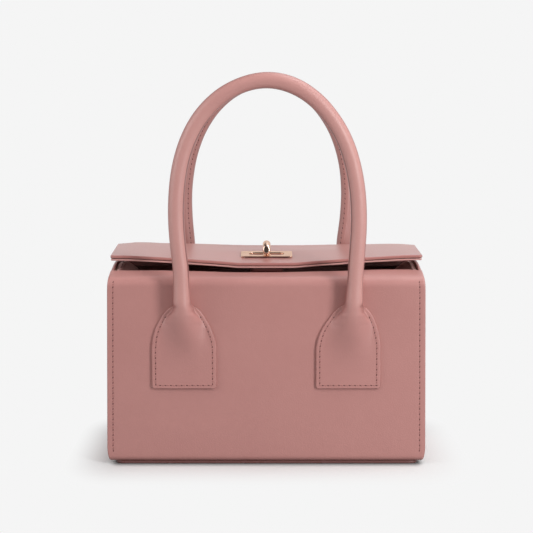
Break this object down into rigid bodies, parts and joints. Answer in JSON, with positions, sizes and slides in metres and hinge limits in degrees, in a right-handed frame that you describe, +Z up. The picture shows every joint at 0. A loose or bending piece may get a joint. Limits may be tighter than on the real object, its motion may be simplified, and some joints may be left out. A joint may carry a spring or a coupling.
{
  "type": "top handle bag",
  "caption": "Boxy leather top handle bag: sloped shoulders, a hinged lid with a twist lock, an open lined compartment and two rolled handles on sewn tabs.",
  "frame": {"origin": "under the middle of the base panel, on the surface the bag stands on", "axes": "+Z up, the front with the lid's free edge faces -Y, +X is to the right of someone who looks at the front"},
  "size_m": [0.22, 0.124, 0.2745],
  "materials": {
    "leather": "smooth dusty pink cowhide, soft satin",
    "inner_leather": "smooth leather, a shade darker",
    "lining": "matte twill lining",
    "board": "bonded leather board",
    "handle_core": "cotton cord core",
    "gold_metal": "polished pale gold plating"
  },
  "bodies": {
    "root": {"front_panel": "leather", "back_panel": "leather", "base_panel": "leather", "left_gusset": "leather", "right_gusset": "leather", "front_left_tab": "leather", "front_right_tab": "leather", "rear_left_tab": "leather", "rear_right_tab": "leather", "hinge_strip": "leather", "front_facing": "inner_leather", "back_facing": "inner_leather", "left_facing": "inner_leather", "right_facing": "inner_leather", "closure_tongue": "inner_leather", "front_lining": "lining", "back_lining": "lining", "base_lining": "lining", "left_lining": "lining", "right_lining": "lining", "front_board": "board", "back_board": "board", "base_board": "board", "left_board": "board", "right_board": "board", "keeper_plate": "gold_metal", "keeper_rivets": "gold_metal"},
    "lid": {"lid_cover": "leather", "lid_board": "board", "lid_lining": "inner_leather", "lock_plate": "gold_metal", "lock_bush": "gold_metal", "lock_washer": "gold_metal", "lock_screws": "gold_metal"},
    "lock": {"lock_toggle": "gold_metal", "lock_post": "gold_metal", "lock_cam": "gold_metal", "cam_screw": "gold_metal"},
    "front_handle": {"front_handle_cover": "leather", "front_handle_core": "handle_core"},
    "rear_handle": {"rear_handle_cover": "leather", "rear_handle_core": "handle_core"}
  },
  "joints": [
    {"name": "lid_hinge", "type": "hinge", "parent": "root", "child": "lid", "pos_m": [0, 0.0292, 0.1457], "axis": [-1, 0, 0], "range_deg": [0, 95]},
    {"name": "lock_turn", "type": "hinge", "parent": "lid", "child": "lock", "pos_m": [0, -0.0065, 0.14307], "axis": [0, -0.1232, 0.9924], "range_deg": [0, 90]},
    {"name": "front_handle_tilt", "type": "hinge", "parent": "root", "child": "front_handle", "pos_m": [0, -0.0565, 0.113], "axis": [1, 0, 0], "range_deg": [-10, 60], "stiffness_Nm_per_rad": 0.3},
    {"name": "rear_handle_tilt", "type": "hinge", "parent": "root", "child": "rear_handle", "pos_m": [0, 0.0565, 0.113], "axis": [-1, 0, 0], "range_deg": [-8, 60], "stiffness_Nm_per_rad": 0.3}
  ]
}
